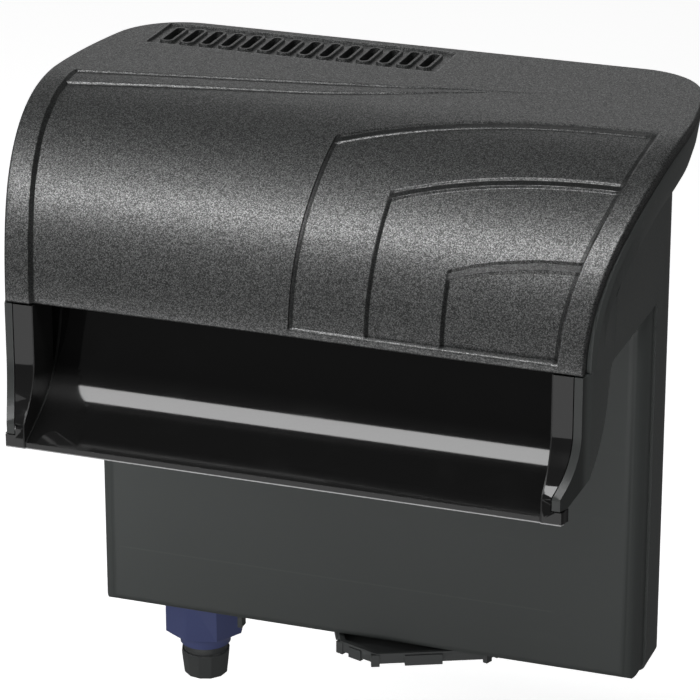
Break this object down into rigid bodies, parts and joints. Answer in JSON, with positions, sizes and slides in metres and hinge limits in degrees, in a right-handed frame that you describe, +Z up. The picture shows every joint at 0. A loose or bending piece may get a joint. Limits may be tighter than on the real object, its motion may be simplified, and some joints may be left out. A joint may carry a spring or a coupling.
{
  "type": "hang-on-back aquarium filter",
  "caption": "Hang-on-back aquarium filter with a lift-off curved lid, spillway spout, cartridge box, twist-off motor, impeller and levelling dial.",
  "frame": {"origin": "middle of the deck's flat underside, which rests on the tank rim", "axes": "+X to the right seen from the tank side, +Y to the back of the filter, away from the tank, +Z up"},
  "size_m": [0.217, 0.1426, 0.2346],
  "materials": {
    "body_satin": "satin charcoal",
    "lid_textured": "fine-grained charcoal",
    "spout_gloss": "gloss black",
    "motor_blue": "gloss navy blue",
    "dark_plastic": "satin dark grey",
    "frame_plastic": "satin blue",
    "floss": "fibrous white",
    "carbon": "granular black",
    "impeller_plastic": "satin light grey",
    "magnet": "dull grey",
    "shaft_ceramic": "polished ceramic white",
    "seal_rubber": "matt black",
    "steel": "brushed",
    "copper": "enamelled copper",
    "bobbin_plastic": "natural"
  },
  "bodies": {
    "housing": {"filter_body": "body_satin", "spillway_chute": "spout_gloss", "intake_riser": "dark_plastic", "riser_seal": "seal_rubber", "pump_cover": "dark_plastic", "upper_bush": "seal_rubber", "leveller_screw": "steel", "leveller_washer": "bobbin_plastic"},
    "lid": {"lid": "lid_textured"},
    "cartridge": {"cartridge_frame": "frame_plastic", "floss_front": "floss", "floss_back": "floss", "carbon_fill": "carbon"},
    "motor": {"motor_housing": "motor_blue", "rotor_can": "dark_plastic", "motor_seal": "seal_rubber", "stator_core": "steel", "coil_bobbin": "bobbin_plastic", "stator_coil": "copper", "lower_bush": "seal_rubber", "impeller_shaft": "shaft_ceramic", "cord_gland": "dark_plastic", "gland_seal": "seal_rubber"},
    "rotor": {"impeller": "impeller_plastic", "rotor_magnet": "magnet"},
    "leveller": {"leveller_cam": "dark_plastic"}
  },
  "joints": [
    {"name": "lid_lift", "type": "slide", "parent": "housing", "child": "lid", "axis": [0, 0, 1], "range_m": [0, 0.15]},
    {"name": "cartridge_lift", "type": "slide", "parent": "housing", "child": "cartridge", "axis": [0, 0, 1], "range_m": [0, 0.12]},
    {"name": "motor_twist", "type": "hinge", "parent": "housing", "child": "motor", "pos_m": [-0.0705, 0.053, -0.126], "axis": [0, 0, 1], "range_deg": [0, 28]},
    {"name": "impeller_spin", "type": "hinge", "parent": "motor", "child": "rotor", "pos_m": [-0.0705, 0.053, -0.113], "axis": [0, 0, 1], "continuous": true},
    {"name": "leveller_turn", "type": "hinge", "parent": "housing", "child": "leveller", "pos_m": [0.014, 0.046, -0.136], "axis": [0, 0, 1], "continuous": true}
  ],
  "couplings": [
    {"joint": "cartridge_lift", "follows": "lid_lift", "ratio": 0.8}
  ]
}
